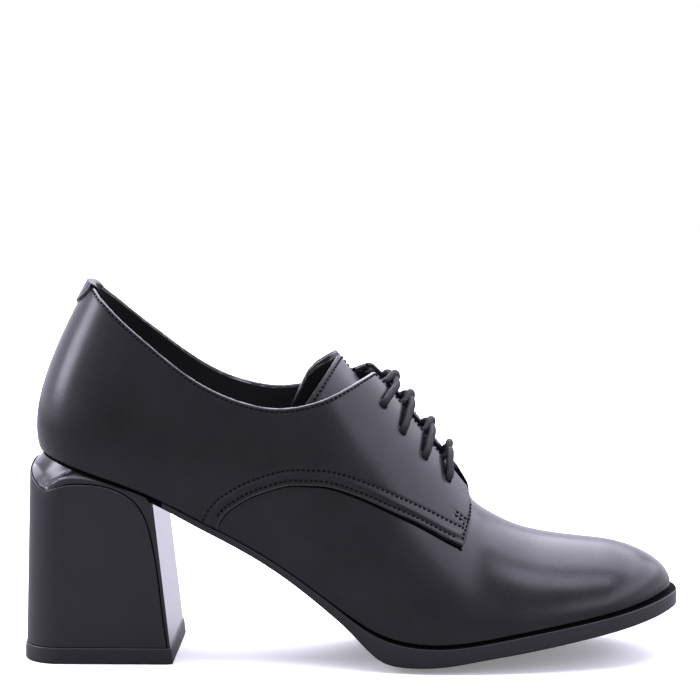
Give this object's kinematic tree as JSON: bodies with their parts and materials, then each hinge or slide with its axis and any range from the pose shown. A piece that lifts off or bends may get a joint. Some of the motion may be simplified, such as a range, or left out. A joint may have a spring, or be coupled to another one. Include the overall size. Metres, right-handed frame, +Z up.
{
  "type": "lace-up shoe",
  "caption": "A woman's black leather lace-up derby with a rounded square toe, open lacing over a tongue, a small back tab and a high block heel with a glossy front face.",
  "frame": {"origin": "on the floor under the middle of the shoe's box", "axes": "+X runs from the heel to the toe, +Y to the inner (medial) side of the foot, +Z up"},
  "size_m": [0.2416, 0.0816, 0.1394],
  "materials": {
    "leather": "smooth calf leather with a semi-gloss polish and a very fine grain",
    "tongue_leather": "the same leather, a little softer and less polished",
    "lining": "matte black lining leather",
    "sole_rubber": "satin black moulded rubber",
    "heel_lacquer": "black lacquered heel, satin side panels and a mirror-glossy front face and cup",
    "lace_cord": "round waxed cord with fine glittering threads"
  },
  "bodies": {
    "root": {"upper": "leather", "tongue": "tongue_leather", "back_tab": "leather", "insole": "lining", "outsole": "sole_rubber", "heel_block": "heel_lacquer", "top_lift": "sole_rubber", "lace_crossing_1": "lace_cord", "lace_crossing_2": "lace_cord", "lace_crossing_3": "lace_cord", "lace_crossing_4": "lace_cord"}
  },
  "joints": []
}
